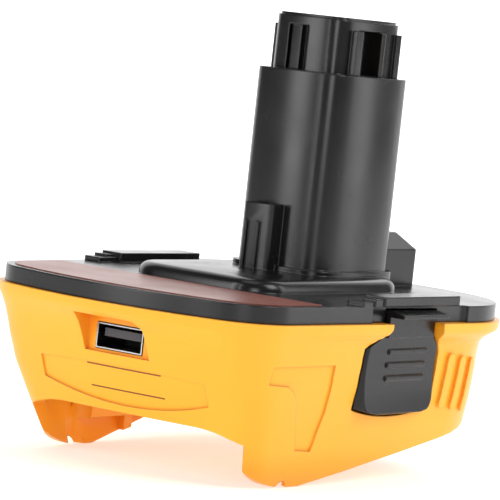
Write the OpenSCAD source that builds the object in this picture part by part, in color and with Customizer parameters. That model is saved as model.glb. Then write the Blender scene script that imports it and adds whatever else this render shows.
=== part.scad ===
// Battery adapter: a slide-on pack clips in below, a stem with terminals stands on top.
// Millimetres, Z up, front towards -Y, right latch towards +X.

/* [Body] */
// Length of the cover plate from front to rear
plate_len = 116; // [108:1:128]
// Width of the cover plate at the rear
plate_wid = 85; // [80:1:94]
// Width of the cover plate at the front
plate_front_wid = 78; // [74:1:86]
// Height of the cover plate's top face above the ground
plate_top = 42; // [40:0.5:48]
// Height of the cover plate's rim
plate_t = 3.9; // [3:0.1:5]
// How far the housing flange stands out past the rim
flange_out = 1.3; // [0.8:0.1:2.2]
// Wall of the cover, its deck and its top skin
skin = 2.2; // [1.8:0.1:3]

/* [Stem] */
// Height of the stem above the cover plate
stem_h = 50.3; // [40:0.1:62]
// Height of the terminal head above the stem's shoulder
head_h = 13.4; // [10:0.1:16]
// Distance of the stem axis behind the middle
stem_y = 21.4; // [17:0.1:23]
// Height of the raised platform under the stem
platform_h = 3; // [2.8:0.1:5]

/* [Latches] */
// Distance of the latch middle behind the body's middle
latch_y = 5.5; // [4:0.5:8]
// Width of a latch paddle
latch_w = 25; // [22:0.5:27]
// Travel of a latch when it is pressed
latch_travel = 4; // [2:0.1:4.4]
// Grip ribs on a paddle
grip_ribs = 3; // [2:1:4]

/* [Port and pack bay] */
// Width of the charging socket shell
usb_w = 13.1; // [12.8:0.1:13.6]
// Height of the charging socket shell
usb_h = 5.7; // [5.4:0.1:6]
// Half width of the arch in the front wall between its legs
arch_half = 31; // [28:0.5:32]
// Height of the arch's top above the ground
arch_top = 12.5; // [8:0.5:14]

/* [Hidden] */
$fn = 64;

// Colours
amber = [0.98, 0.69, 0.16];
black = [0.09, 0.09, 0.10];
metal = [0.78, 0.78, 0.80];
brass = [0.80, 0.66, 0.32];
green = [0.05, 0.30, 0.16];
rust = [0.55, 0.27, 0.22];

// Outline of the cover plate: reach, half width, corner radius and bow radius, each at the front and the rear
front_r = 14;
rear_r = 27;
front_bow = 100;
rear_bow = 150;
rim = [plate_len / 2, plate_len / 2, plate_front_wid / 2, plate_wid / 2, front_r, rear_r, front_bow, rear_bow];
flange = inset(rim, -flange_out);
rim_z = plate_top - plate_t;

// Loft levels below the flange: share of the height, then setback of front, side front, side rear and rear
wall_levels = [[1, 0, 0, 0, 0], [0.958, 0.2, 0.2, 0.1, 0.1], [0.934, 0.9, 0.8, 0.5, 0.5],
    [0.913, 2.1, 1.2, 1.7, 1.5], [0.887, 3.3, 1.5, 3.2, 2.9], [0.85, 4.6, 1.8, 4.1, 3.7],
    [0.787, 6.1, 2.2, 4.4, 4], [0.682, 8.1, 2.8, 4.6, 4.1], [0.525, 11.1, 3.9, 5.1, 4.5],
    [0.328, 14.5, 6, 6.3, 5.3], [0.13, 18, 8.2, 8, 6.3], [0, 20.3, 10.1, 9.2, 7]];
cave_levels = [[1.02, 4.8, 3.8, 4.4, 4.4], [0.905, 5.4, 3.9, 5.6, 5.3], [0.78, 8.7, 4.2, 7.4, 6.9],
    [0.525, 13.7, 5.8, 8.2, 7.5], [0.13, 20.6, 10.2, 10.9, 9], [-0.03, 23.2, 12.4, 12, 9.8]];
wall_corner_r = 8;
front_r_fall = 0.68;
rear_r_fall = 0.7;
bow_growth = 20;
arc_n = 3;
corner_n = 8;

// Heights inside the body
deck_top = 22.2;
deck_z = deck_top - skin;
board_t = 1.6;
board_z = deck_top + 3;
board_top = board_z + board_t;
usb_mid = board_top + usb_h / 2;
cave_z = plate_top - skin;

// Front wall features
pocket_y = -plate_len / 2 + 7.8;
pocket_half = 8.9;
pocket_right = 9.4;
pocket_cut = 1.7;
pocket_lo = usb_mid - 3.6;
pocket_hi = usb_mid + 5;
pocket_wall = 1.8;
usb_gap = 0.2;
usb_depth = 14;
shell_t = 0.3;
panel_depth = 0.5;
panel_half = 23.4;
panel_top = usb_mid - 6.2;
panel_keel = usb_mid - 15.4;
tongue_w = 10.4;
tongue_t = 1.84;
tongue_z = usb_mid - 0.1;
insert_l = 4;
pad_t = 0.25;
pad_w = 1;
pad_y = pocket_y + 3;

// Bottom of the walls
foot_y = -25;
foot_r = 25.3;
foot_flat = 5;
foot_rise = 18;
foot_run = 87;

// Stem section: corner centres, corner radius, bow radii of the ends and the sides
stem_cx = 7.2;
stem_cy = 10.8;
stem_r = 5.5;
stem_end_bow = 40;
stem_side_bow = 60;
stem_wall = 2.2;
stem_ledge = 3.4;
plug_h = 8.3;
plug_gap = 0.1;
tip_cx = 5.7;
tip_cy = 9;
tip_r = 4.5;
tip_step = 0.6;
platform_w = 40;
platform_l = 60;
stem_top = plate_top + stem_h;
head_top = stem_top + head_h;
tip_half = tip_cx - sqrt(pow(stem_side_bow - tip_r, 2) - pow(tip_cy, 2)) + stem_side_bow;
tip_reach = tip_cy - sqrt(pow(stem_end_bow - tip_r, 2) - pow(tip_cx, 2)) + stem_end_bow;
stem_reach = stem_cy - sqrt(pow(stem_end_bow - stem_r, 2) - pow(stem_cx, 2)) + stem_end_bow;

// Terminal slots
slot_x = 6.4;
slot_w = 8.5;
slot_front = stem_y - 6.5;
slot_lo = stem_top + 0.2;
slot_hi = head_top - 2.7;
sense_left = -4.4;
sense_right = 1.4;
sense_y = stem_y - tip_reach + 2.5;
sense_tab = [0.8, 2.7, 2];
strip_t = 0.5;
strip_w = 3.2;
strip_x = slot_x + 0.1;
sense_strip_w = 1.6;
strip_lo = stem_top - plug_h - 5;

// Latches: half width at the latch on the wall line, and the paddle's place
side_x = flange[2] + (flange[3] - flange[2]) * (latch_y + plate_len * 0.28) / (plate_len * 0.56);
latch_lo = 16.4;
latch_hi = rim_z - 0.4;
hook_out = side_x + 2;
neck_x = side_x - 5.3;
neck_t = 3.6;
paddle_x = side_x - 5.9;
paddle_r = 5;
guide_in = paddle_x - 3.8;
guide_half = 6;
guide_mid = 28;
guide_h = 9;
seat_r = 3;
seat_x = paddle_x - 0.8;
tab_out = 2;
tab_t = 1.6;
window_gap = 0.4;
pocket_in = guide_in - latch_travel - 1.4;
latch_wall = 1.6;
latch_flank = 3.2;
latch_half = latch_w / 2 + latch_flank;
neck_half = 9.4;
neck_top = plate_top - 1;
roof = 0.7;
face_front = latch_y - latch_w / 2;
face_rear = latch_y + latch_w / 2 - 0.8;
back_front = latch_y - latch_half;
back_rear = face_rear + 2.2;
face_x = side_x - 3;
dish_x = side_x - 3.3;
dish_r = 45;
dish_z = 26;
sole_r = 60;
latch_side = latch_half + tab_out + 0.3;
neck_front = latch_y - neck_half;
neck_rear = latch_y + neck_half;
rear_draw = back_rear - neck_rear;
front_draw = neck_front - back_front;
rear_edge = [for (q = [[1, 7.5], [0.87, 6.1], [0.6, 4.7], [0.29, 3.3], [0.09, 2.1], [0, 1.1]])
    [neck_rear + q[0] * rear_draw, rim_z - q[1]]];
front_edge = [for (q = [[0, 1.5], [0.12, 2.7], [0.3, 3.7], [1, 6.1]])
    [neck_front - q[0] * front_draw, rim_z - q[1]]];
latch_floor = 15;
hood_h = 2.2;
hood_in = side_x - 7;
hood_out = side_x - 1.1;
hood_front = latch_y - 13;
hood_rear = latch_y + 18;
recess_front = latch_y - 16.5;
recess_rear = latch_y + 20.5;
recess_in = 1.2;
side_slope = (flange[3] - flange[2]) / (plate_len * 0.56);

// Springs
spring_r = 2.2;
spring_wire = 0.3;
spring_turns = 5;
spring_rings = 8;
spring_sides = 6;
spring_in = pocket_in;
spring_out = seat_x;
spring_len = spring_out - spring_in;
spring_pitch = (spring_len - 2 * spring_wire) / spring_turns;
spring_self_gap = spring_pitch - 2 * spring_wire;
echo(spring_self_gap = spring_self_gap);

// Screws
screw_r = 1.5;
screw_head_r = 2.8;
screw_head_h = 2;
screw_len = 12;
pilot_gap = 0.02;
boss_r = 3.7;
post_front = 32 - plate_len / 2;
post_rear = plate_len / 2 - 15;
cover_posts = [[28, post_front], [-28, post_front], [22.5, post_rear], [-22.5, post_rear]];
post_drop = 4.2;
board_post_r = 2.6;
board_screw_r = 1.1;
board_posts = [[18, 3], [-18, 3], [18, -43], [-18, -43]];

// Terminal block and blades under the deck
block_half = 17.3;
block_y = plate_len / 2 - 20;
block_l = 12;
block_h = 6;
blade_t = 0.8;
blade_h = 4.4;
blade_reach = 14;
blade_tail = block_y + 8;
blade_tail_l = 2.4;
blade_up = 3.4;
blade_x = [14, -14, 5];
blade_mid = deck_z - block_h / 2;

// Board
board_half = 22;
board_front = pocket_y + pocket_wall + 1.4;
board_rear = 8;

// Wire routes, each a list of points, with the wire radius
wire_r = 0.9;
sense_r = 0.6;
wire_sides = 8;
strip_end = strip_lo + 2;
strip_mid = strip_x + strip_w / 2;
lead_y = slot_front + strip_t + wire_r;
lead_x = sense_right - strip_t - sense_r;
route_pos = [[blade_x[0] + blade_t / 2 + wire_r, blade_tail + 1.2, deck_top + 1.2],
    [15.3, blade_tail - 6, deck_top + 1.8], [13, blade_tail - 11, deck_top + 4],
    [strip_mid + 0.6, blade_tail - 18, deck_top + 11], [strip_mid, stem_y - 2, deck_top + 20],
    [strip_mid, lead_y, deck_top + 34], [strip_mid, lead_y, strip_end]];
route_neg = [for (p = route_pos) [-p[0], p[1], p[2]]];
route_sense = [[blade_x[2] + blade_t / 2 + sense_r + 0.1, blade_tail + 1.2, deck_top + 0.9],
    [5.6, blade_tail - 6, deck_top + 1.2], [4, blade_tail - 13, deck_top + 3], [1.5, stem_y + 2, deck_top + 9],
    [lead_x, sense_y + 3, deck_top + 20], [lead_x, sense_y - sense_strip_w / 2, deck_top + 34],
    [lead_x, sense_y - sense_strip_w / 2, strip_end]];
route_board_a = [[blade_x[0] - blade_t / 2 - sense_r, blade_tail + 1.2, deck_top + 0.9],
    [12.4, blade_tail - 8, deck_top + 1.2], [11.6, blade_tail - 20, deck_top + 1.6], [11, 14, deck_top + 4.4],
    [11, 8, board_top + sense_r], [11, 5, board_top + sense_r]];
route_board_b = [for (p = route_board_a) [-p[0], p[1], p[2]]];

// Outline helpers: reach, half width, corner radius and bow radius, each at the front and the rear
function inset(o, d) = [for (v = o) v - d];
function front_mid(o) = [0, o[6] - o[0]];
function rear_mid(o) = [0, o[1] - o[7]];
function front_corner(o) =
    [o[2] - o[4], o[6] - o[0] - sqrt(pow(o[6] - o[4], 2) - pow(o[2] - o[4], 2))];
function rear_corner(o) =
    [o[3] - o[5], o[1] - o[7] + sqrt(pow(o[7] - o[5], 2) - pow(o[3] - o[5], 2))];
function unit(v) = v / norm(v);
function flip(p) = [-p[0], p[1]];
function polar(c, r, a) = c + r * [cos(a), sin(a)];
// Direction square to the straight side, which touches both corner circles
function side_angle(o) =
    let (d = rear_corner(o) - front_corner(o)) atan2(d[1], d[0]) - acos((o[4] - o[5]) / norm(d));
function front_angle(o) =
    let (d = front_corner(o) - front_mid(o)) atan2(d[1], d[0]);
function rear_angle(o) =
    let (d = rear_corner(o) - rear_mid(o)) atan2(d[1], d[0]);
function span(a, b, n, i) = a + (b - a) * i / n;

// Right half of an outline from the front middle to the rear middle
function half_points(o) = [
    for (i = [0:arc_n]) polar(front_mid(o), o[6], span(-90, front_angle(o), arc_n, i)),
    for (i = [1:corner_n]) polar(front_corner(o), o[4], span(front_angle(o), side_angle(o), corner_n, i)),
    for (i = [0:corner_n]) polar(rear_corner(o), o[5], span(side_angle(o), rear_angle(o), corner_n, i)),
    for (i = [1:arc_n]) polar(rear_mid(o), o[7], span(rear_angle(o), 90, arc_n, i))];
function ring_points(o) =
    let (h = half_points(o), n = len(h))
    [for (i = [0:n - 1]) h[i], for (i = [n - 2:-1:1]) flip(h[i])];

// Outline of the wall at one loft level, moved in by d: the front flattens and its corners tighten downwards
function level_outline(l, d) = inset([flange[0] - l[1], flange[1] - l[4], flange[2] - l[2], flange[3] - l[3],
    max(wall_corner_r, flange[4] - front_r_fall * l[1]), flange[5] - rear_r_fall * l[3],
    flange[6] + bow_growth * l[1], flange[7]], d);

// Closed mesh through rings of equal length, from the top ring down
module skin_rings(rings) {
    n = len(rings[0]);
    k = len(rings);
    points = [for (r = rings) for (p = r) p];
    sides = [for (j = [0:k - 2]) for (i = [0:n - 1])
        let (a = j * n + i, b = j * n + (i + 1) % n)
        each [[a, b + n, a + n], [a, b, b + n]]];
    top = [for (i = [n - 1:-1:0]) i];
    bottom = [for (i = [0:n - 1]) (k - 1) * n + i];
    polyhedron(points = points, faces = concat(sides, [top], [bottom]), convexity = 6);
}

// Tapering body of the housing between the flange and the ground
module wall_loft(levels, d = 0) {
    skin_rings([for (l = levels) [for (p = ring_points(level_outline(l, d))) [p[0], p[1], l[0] * rim_z]]]);
}

// Exact flat outline with bowed ends and round corners, its straight sides a hair inside the corner circles
module plan(o) {
    cf = front_corner(o);
    cr = rear_corner(o);
    n = [cos(side_angle(o)), sin(side_angle(o))];
    lap = [0, 4];
    bite = 0.005;
    sf = cf + (o[4] - bite) * n;
    sr = cr + (o[5] - bite) * n;
    df = unit(cf - front_mid(o)) * (o[4] + 6);
    dr = unit(cr - rear_mid(o)) * (o[5] + 6);
    polygon([cf, sf, sr, cr, flip(cr), flip(sr), flip(sf), flip(cf)]);
    for (c = [cf, flip(cf)]) {
        translate(c) circle(o[4]);
    }
    for (c = [cr, flip(cr)]) {
        translate(c) circle(o[5]);
    }
    intersection() {
        translate(front_mid(o)) circle(o[6]);
        polygon([cf + lap, cf, cf + df, flip(cf + df), flip(cf), flip(cf + lap)]);
    }
    intersection() {
        translate(rear_mid(o)) circle(o[7]);
        polygon([cr - lap, cr, cr + dr, flip(cr + dr), flip(cr), flip(cr - lap)]);
    }
}

// Rounded rectangle with all four sides bowed out
module bowed(cx, cy, r, end_bow, side_bow) {
    ey = cy - sqrt(pow(end_bow - r, 2) - pow(cx, 2));
    sx = cx - sqrt(pow(side_bow - r, 2) - pow(cy, 2));
    e = unit([cx, cy - ey]) * (r + 2);
    s = unit([cx - sx, cy]) * (r + 2);
    square([2 * cx, 2 * cy], center = true);
    for (x = [-cx, cx], y = [-cy, cy]) {
        translate([x, y]) circle(r);
    }
    for (m = [0, 1]) {
        mirror([0, m]) intersection() {
            translate([0, ey]) circle(end_bow);
            polygon([[cx, cy], [cx, cy] + e, flip([cx, cy] + e), [-cx, cy]]);
        }
        mirror([m, 0]) intersection() {
            translate([sx, 0]) circle(side_bow);
            polygon([[cx, cy], [cx, cy] + s, [cx + s[0], -cy - s[1]], [cx, -cy]]);
        }
    }
}

module stem_section(d) {
    bowed(stem_cx, stem_cy, stem_r - d, stem_end_bow - d, stem_side_bow - d);
}

module tip_section(d) {
    bowed(tip_cx, tip_cy, tip_r - d, stem_end_bow - d, stem_side_bow - d);
}

// Rounded rectangle
module round_rect(w, l, r) {
    square([w - 2 * r, l], center = true);
    square([w, l - 2 * r], center = true);
    for (x = [-1, 1], y = [-1, 1]) {
        translate([x * (w / 2 - r), y * (l / 2 - r)]) circle(r);
    }
}

// Section of a low block whose two top edges are rolled over by e
module rolled(w, h, e) {
    translate([-w / 2, 0]) square([w, h - e]);
    translate([e - w / 2, 0]) square([w - 2 * e, h]);
    for (s = [-1, 1]) {
        translate([s * (w / 2 - e), h - e]) circle(e);
    }
}

// Low block with round corners and its top edge rolled over by e
module pillow(w, l, r, h, e) {
    along(r - l / 2, l / 2 - r) rolled(w, h, e);
    across(r - w / 2, w / 2 - r) rolled(l, h, e);
    for (x = [-1, 1], y = [-1, 1]) {
        translate([x * (w / 2 - r), y * (l / 2 - r), 0]) rotate_extrude() intersection() {
            rolled(2 * r, h, e);
            square([r, h]);
        }
    }
}

// Profile in the Y-Z plane carried across the body along X
module across(x0, x1) {
    translate([x0, 0, 0]) rotate([90, 0, 90]) linear_extrude(x1 - x0) children();
}

// Profile in the X-Z plane carried from front y0 to rear y1
module along(y0, y1) {
    translate([0, y1, 0]) rotate([90, 0, 0]) linear_extrude(y1 - y0) children();
}

module both_sides() {
    children();
    mirror([1, 0, 0]) children();
}

// Tube swept through points, its rings square to the path
module sweep_tube(path, r, sides) {
    n = len(path);
    dirs = [for (i = [0:n - 1]) unit(path[min(i + 1, n - 1)] - path[max(i - 1, 0)])];
    ups = [for (d = dirs) unit(cross(d, abs(d[0]) < 0.9 ? [1, 0, 0] : [0, 1, 0]))];
    skin_rings([for (i = [0:n - 1]) [for (k = [0:sides - 1])
        let (a = -360 * k / sides, v = cross(dirs[i], ups[i]))
        path[i] + r * (cos(a) * ups[i] + sin(a) * v)]]);
}

// Housing

module bay_cuts() {
    below = -6;
    toe_z = 10.4;
    across(-plate_wid, plate_wid) {
        difference() {
            translate([-plate_len, below]) square([plate_len + foot_y, toe_z - below]);
            translate([foot_y, foot_r]) circle(foot_r);
        }
        polygon([[foot_y + foot_flat, 0], [foot_y + foot_flat + foot_run, foot_rise],
            [foot_y + foot_flat + foot_run, below], [foot_y + foot_flat, below]]);
    }
    translate([0, 0, below]) along(-plate_len, foot_y - 3) arch_shape(arch_top - below);
}

// Front arch of height h above the cut's base, its crown falling away to legs that draw in downwards
module arch_shape(h) {
    arch_r = 30;
    draw = 5;
    flat = arch_half - 12.5;
    translate([-flat, 0]) square([2 * flat, h]);
    intersection() {
        polygon([[draw - arch_half, 0], [arch_half - draw, 0], [arch_half, h], [-arch_half, h]]);
        for (x = [-flat, flat]) {
            translate([x, h - arch_r]) circle(arch_r);
        }
    }
}

// Boat-shaped panel on the front wall, in the X-Z plane
module panel_shape() {
    top_bow = 400;
    keel_bow = 80;
    intersection() {
        translate([-panel_half, panel_keel]) square([2 * panel_half, panel_top - panel_keel]);
        translate([0, panel_top - top_bow]) circle(top_bow);
        translate([0, panel_keel + keel_bow]) circle(keel_bow);
    }
}

// Funnel-shaped recess on a side wall, in the Y-Z plane
module funnel_shape() {
    polygon([[-43, 28.6], [-20.5, 28.6], [-20.2, 21], [-20.6, 8.4], [-26.4, 8.8], [-30.4, 16.4],
        [-31.7, 19.8], [-33.4, 22.4], [-36, 24], [-43, 24.6]]);
}

module wall_recesses() {
    difference() {
        union() {
            along(-plate_len, -plate_len / 2 + 22) panel_shape();
            across(-plate_wid, plate_wid) funnel_shape();
        }
        wall_loft(wall_levels, panel_depth);
    }
}

// Three leaning ribs on each side wall behind a latch, standing off the wall by an even height
module lean_ribs() {
    rib_w = 2.6;
    rib_h = 10.4;
    rib_lean = -4;
    rib_step = 5;
    stand = 0.8;
    intersection() {
        wall_loft(wall_levels, -stand);
        across(-plate_wid, plate_wid) for (i = [0:2]) {
            translate([latch_y + latch_half + 3.2 + rib_step * i, 24 - 0.6 * i]) rotate(rib_lean) {
                square([rib_w, rib_h], center = true);
                for (e = [-1, 1]) {
                    translate([0, e * rib_h / 2]) circle(d = rib_w);
                }
            }
        }
        difference() {
            translate([-plate_wid, 0, 0]) cube([2 * plate_wid, plate_len, plate_top]);
            translate([-side_x + 8, -1, -1]) cube([2 * (side_x - 8), plate_len, plate_top + 2]);
        }
    }
}

module latch_pocket_block() {
    along(latch_y - latch_side - latch_wall, latch_y + latch_side + latch_wall)
        polygon([[pocket_in - latch_wall, latch_floor - latch_wall],
            [side_x - 7.2, latch_floor - latch_wall], [side_x - 2.4, rim_z], [pocket_in - latch_wall, rim_z]]);
}

module latch_pocket_void() {
    along(latch_y - latch_side, latch_y + latch_side)
        polygon([[pocket_in, latch_floor], [side_x - 8.9, latch_floor], [side_x - 4, rim_z + 1],
            [pocket_in, rim_z + 1]]);
    across(side_x - 12, side_x + 12) latch_window();
}

// Window of a latch in the Y-Z plane: the paddle's outline with room around it
module latch_window() {
    top = plate_top + 1;
    intersection() {
        polygon(concat([[back_front - window_gap, latch_floor], [back_rear + window_gap, latch_floor]],
            [for (p = rear_edge) p + [window_gap, 0.2]],
            [[neck_rear + window_gap, top], [neck_front - window_gap, top]],
            [for (p = front_edge) p + [-window_gap, 0.2]]));
        translate([latch_y - 1, latch_lo + sole_r]) circle(sole_r + window_gap);
    }
}

module lower_housing() {
    color(amber) difference() {
        union() {
            difference() {
                wall_loft(wall_levels);
                wall_loft(cave_levels);
            }
            intersection() {
                wall_loft(wall_levels, 1.2);
                union() {
                    translate([-plate_wid, -plate_len, deck_z]) cube([2 * plate_wid, 2 * plate_len, skin]);
                    both_sides() pack_rail();
                    translate([-pocket_right - 2, pocket_y - 3, pocket_lo - 2])
                        cube([2 * pocket_right + 4, 3 + pocket_wall, pocket_hi - pocket_lo + 4]);
                    both_sides() latch_pocket_block();
                }
            }
            lean_ribs();
            both_sides() spring_peg();
            for (p = cover_posts) {
                translate([p[0], p[1], deck_z - post_drop + skin]) cylinder(r = boss_r + 1, h = post_drop);
            }
            for (p = board_posts) {
                translate([p[0], p[1], deck_top - 0.5]) cylinder(r = board_post_r, h = board_z - deck_top + 0.5);
            }
        }
        bay_cuts();
        wall_recesses();
        both_sides() latch_pocket_void();
        port_cuts();
        for (p = cover_posts) {
            translate([p[0], p[1], 0]) {
                cylinder(r = screw_head_r + 0.3, h = deck_top - skin);
                cylinder(r = screw_r + 0.2, h = plate_top);
            }
        }
        for (i = [0, 1]) {
            translate([board_posts[i][0], board_posts[i][1], deck_z + 0.6])
                cylinder(r = board_screw_r + pilot_gap, h = skin + 8);
        }
        for (x = blade_x) {
            translate([x - blade_t / 2 - 0.6, blade_tail - 0.6, deck_z - 1])
                cube([blade_t + 1.2, blade_tail_l + 1.2, skin + 2]);
        }
    }
}

// Guide rail for the pack on one side wall, with a round nose at its front end
module pack_rail() {
    rail_z = 6.4;
    rail_t = 3;
    rail_in = 27.2;
    nose_y = -24;
    translate([rail_in, nose_y, rail_z]) cube([plate_wid, 66, rail_t]);
    translate([rail_in, nose_y, rail_z + rail_t / 2]) rotate([0, 90, 0]) cylinder(d = rail_t + 1.2, h = plate_wid);
    for (y = [-8, 6, 20]) {
        translate([29, y, 1]) cube([plate_wid, 3, rail_z]);
    }
}

module spring_peg() {
    peg_r = 1.3;
    peg_l = 2;
    translate([pocket_in - 0.4, latch_y, guide_mid]) rotate([0, 90, 0]) cylinder(r = peg_r, h = peg_l + 0.4);
}

module port_cuts() {
    along(-plate_len, pocket_y) polygon([[-pocket_half, pocket_lo], [pocket_right, pocket_lo],
        [pocket_right, pocket_hi - pocket_cut], [pocket_right - pocket_cut, pocket_hi], [-pocket_half, pocket_hi]]);
    translate([-usb_w / 2 - usb_gap, pocket_y - 1, usb_mid - usb_h / 2 - usb_gap])
        cube([usb_w + 2 * usb_gap, pocket_wall + 3, usb_h + 2 * usb_gap]);
}

// Cover with the stem

module stem_foot() {
    boss_half = 4.1;
    boss_x = -2.1;
    boss_out = 4.7;
    boss_h = 15.5;
    boss_r = 0.9;
    key_r = 0.5;
    key_out = 0.4;
    key_h = 11.2;
    translate([boss_x, stem_y - stem_reach, plate_top + platform_h]) {
        translate([0, -boss_out / 2 + 1.5, -0.5]) linear_extrude(boss_h + 0.5)
            round_rect(2 * boss_half, boss_out + 3, boss_r);
        for (x = [-2.65, 0.75]) {
            translate([x - key_r, -boss_out - key_out, -0.5]) cube([2 * key_r, key_out + 1, key_h + 0.5]);
            translate([x, -boss_out - key_out, -0.5]) cylinder(r = key_r, h = key_h + 0.5);
        }
    }
}

// Block with bevelled top behind the stem
module rear_block() {
    half = 8.8;
    base_h = 9;
    ridge_h = 12.8;
    bevel = 3.9;
    l = 16;
    translate([0, stem_y + stem_reach - 2, plate_top]) intersection() {
        along(0, l) polygon([[-half, 0], [half, 0], [half, base_h], [half - bevel, ridge_h],
            [bevel - half, ridge_h], [-half, base_h]]);
        across(-half - 1, half + 1)
            polygon([[0, -1], [l, -1], [l, base_h], [l - bevel, ridge_h + 0.1], [0, ridge_h + 0.1]]);
    }
}

module hood() {
    translate([hood_in, hood_front, plate_top]) cube([hood_out - hood_in, hood_rear - hood_front, hood_h]);
    translate([hood_in + 0.6, hood_front - 7.5, plate_top]) cube([hood_out - hood_in - 1.4, 8, hood_h - 1.1]);
    translate([hood_in + 2, hood_front - 3.4, plate_top]) cube([hood_out - hood_in - 2.4, 4, hood_h - 0.5]);
}

// Shallow recess in the rim's side round a latch, with round ends
module rim_recess() {
    reach = 6;
    end_r = 1.2;
    base = side_x - flange_out - recess_in;
    x0 = base + side_slope * (recess_front - latch_y);
    x1 = base + side_slope * (recess_rear - latch_y);
    translate([0, 0, rim_z - 1]) linear_extrude(plate_t + 1) {
        polygon([[x0, recess_front + end_r], [x0 + reach, recess_front + end_r], [x1 + reach, recess_rear - end_r],
            [x1, recess_rear - end_r]]);
        polygon([[x0 + end_r, recess_front], [x0 + reach, recess_front], [x0 + reach, recess_front + 2 * end_r],
            [x0 + end_r, recess_front + 2 * end_r]]);
        polygon([[x1 + end_r, recess_rear - 2 * end_r], [x1 + reach, recess_rear - 2 * end_r],
            [x1 + reach, recess_rear], [x1 + end_r, recess_rear]]);
        translate([x0 + end_r, recess_front + end_r]) circle(end_r);
        translate([x1 + end_r, recess_rear - end_r]) circle(end_r);
    }
}

module top_cover() {
    color(black) difference() {
        union() {
            difference() {
                translate([0, 0, rim_z]) linear_extrude(plate_t) plan(rim);
                translate([0, 0, rim_z - 1]) linear_extrude(plate_t - skin + 1) plan(inset(rim, 2.6));
            }
            translate([0, 4, plate_top - 0.5]) pillow(platform_w, platform_l, 9, platform_h + 0.5, 2.4);
            translate([0, stem_y, plate_top]) linear_extrude(stem_h) stem_section(0);
            translate([0, stem_y, plate_top]) linear_extrude(platform_h + 1.2) stem_section(-1.4);
            stem_foot();
            rear_block();
            both_sides() hood();
            for (p = cover_posts) {
                translate([p[0], p[1], deck_top]) cylinder(r = boss_r, h = cave_z - deck_top + 0.5);
            }
        }
        translate([0, stem_y, rim_z - 1]) linear_extrude(stem_h + plate_t + 2) stem_section(stem_ledge);
        translate([0, stem_y, stem_top - plug_h]) linear_extrude(plug_h + 1) stem_section(stem_wall);
        both_sides() translate([neck_x - latch_travel - 0.4, neck_front - window_gap, rim_z - 1])
            cube([20, neck_rear - neck_front + 2 * window_gap, plate_t + 1 - roof]);
        both_sides() rim_recess();
        for (p = cover_posts) {
            translate([p[0], p[1], deck_top - 1]) cylinder(r = screw_r + pilot_gap, h = screw_len);
        }
    }
}

module terminal_head() {
    color(black) difference() {
        union() {
            translate([0, stem_y, stem_top - plug_h]) linear_extrude(plug_h) stem_section(stem_wall + plug_gap);
            translate([0, stem_y, stem_top - 1]) linear_extrude(head_h + 1) tip_section(tip_step);
            translate([0, stem_y, stem_top]) linear_extrude(head_h - tip_step) tip_section(0);
            both_sides() head_ribs();
        }
        both_sides() translate([slot_x, slot_front, slot_lo]) cube([2 * tip_half, slot_w, slot_hi - slot_lo]);
        translate([sense_left, stem_y - tip_reach - 2, slot_lo])
            cube([sense_right - sense_left, sense_y - stem_y + tip_reach + 2, slot_hi - slot_lo]);
        both_sides() power_strip();
        sense_strip();
    }
    color(black) translate([sense_left + sense_tab[0], sense_y - sense_tab[2], slot_lo])
        cube([sense_tab[1], sense_tab[2], slot_hi - slot_lo]);
}

// Upright ribs on one side face of the head
module head_ribs() {
    rib_root = 3;
    rib_drop = 2.9;
    for (r = [[-8.9, 2.4, 1.1], [2, 1.6, 0.7], [9.2, 1.9, 0.1]]) {
        translate([tip_half - rib_root, stem_y + r[0], stem_top])
            cube([rib_root + r[2], r[1], head_h - rib_drop]);
    }
}

// Strip on the front wall of a side slot
module power_strip() {
    translate([strip_x, slot_front, strip_lo]) cube([strip_w, strip_t, slot_hi - strip_lo - 0.6]);
}

// Strip on the right wall of the front slot
module sense_strip() {
    translate([sense_right - strip_t, sense_y - sense_strip_w, strip_lo])
        cube([strip_t, sense_strip_w, slot_hi - strip_lo - 0.6]);
}

module contact_positive() {
    color(brass) power_strip();
}

module contact_negative() {
    color(brass) mirror([1, 0, 0]) power_strip();
}

module contact_sense() {
    color(brass) sense_strip();
}

// Latches

module latch_body() {
    rib_first = 8.8;
    rib_step = 3.1;
    rib_l = 15.4;
    rib_r = 0.8;
    rib_y = latch_y + 0.9;
    hook_z = rim_z + 1.4;
    hook_t = 0.8;
    difference() {
        union() {
            difference() {
                intersection() {
                    paddle_block();
                    across(0, plate_wid) paddle_shape();
                    along(back_front - 1, back_rear + 1) polygon([[paddle_x, latch_lo - 1], [plate_wid, latch_lo - 1],
                        [plate_wid, latch_hi], [neck_x, latch_hi], [paddle_x, latch_hi - 5]]);
                }
                translate([dish_x + dish_r, back_front - 1, dish_z]) rotate([-90, 0, 0])
                    cylinder(r = dish_r, h = back_rear - back_front + 2);
            }
            along(neck_front, neck_rear)
                polygon([[neck_x, latch_hi - 3], [neck_x + neck_t, latch_hi - 3], [neck_x + neck_t, hook_z],
                    [hook_out, hook_z], [hook_out, hook_z + hook_t], [neck_x + neck_t, neck_top],
                    [neck_x, neck_top]]);
            translate([guide_in, latch_y - guide_half, guide_mid - guide_h / 2])
                cube([paddle_x - guide_in + 0.5, 2 * guide_half, guide_h]);
            translate([side_x - 9.1, latch_y - latch_half - tab_out, guide_mid - guide_h / 2])
                cube([tab_t, 2 * (latch_half + tab_out), guide_h - 2]);
            translate([side_x - 8, back_front, guide_mid - guide_h / 2])
                cube([2.4, back_rear - back_front, guide_h - 2]);
            for (i = [0:grip_ribs - 1]) {
                rib_z = latch_lo + rib_first + rib_step * i;
                translate([dish_x + dish_r - sqrt(pow(dish_r, 2) - pow(rib_z - dish_z, 2)) - 0.3,
                    rib_y - rib_l / 2, rib_z]) rotate([-90, 0, 0]) cylinder(r = rib_r, h = rib_l);
            }
        }
        translate([guide_in - 1, latch_y, guide_mid]) rotate([0, 90, 0])
            cylinder(r = seat_r, h = seat_x - guide_in + 1);
    }
}

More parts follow.
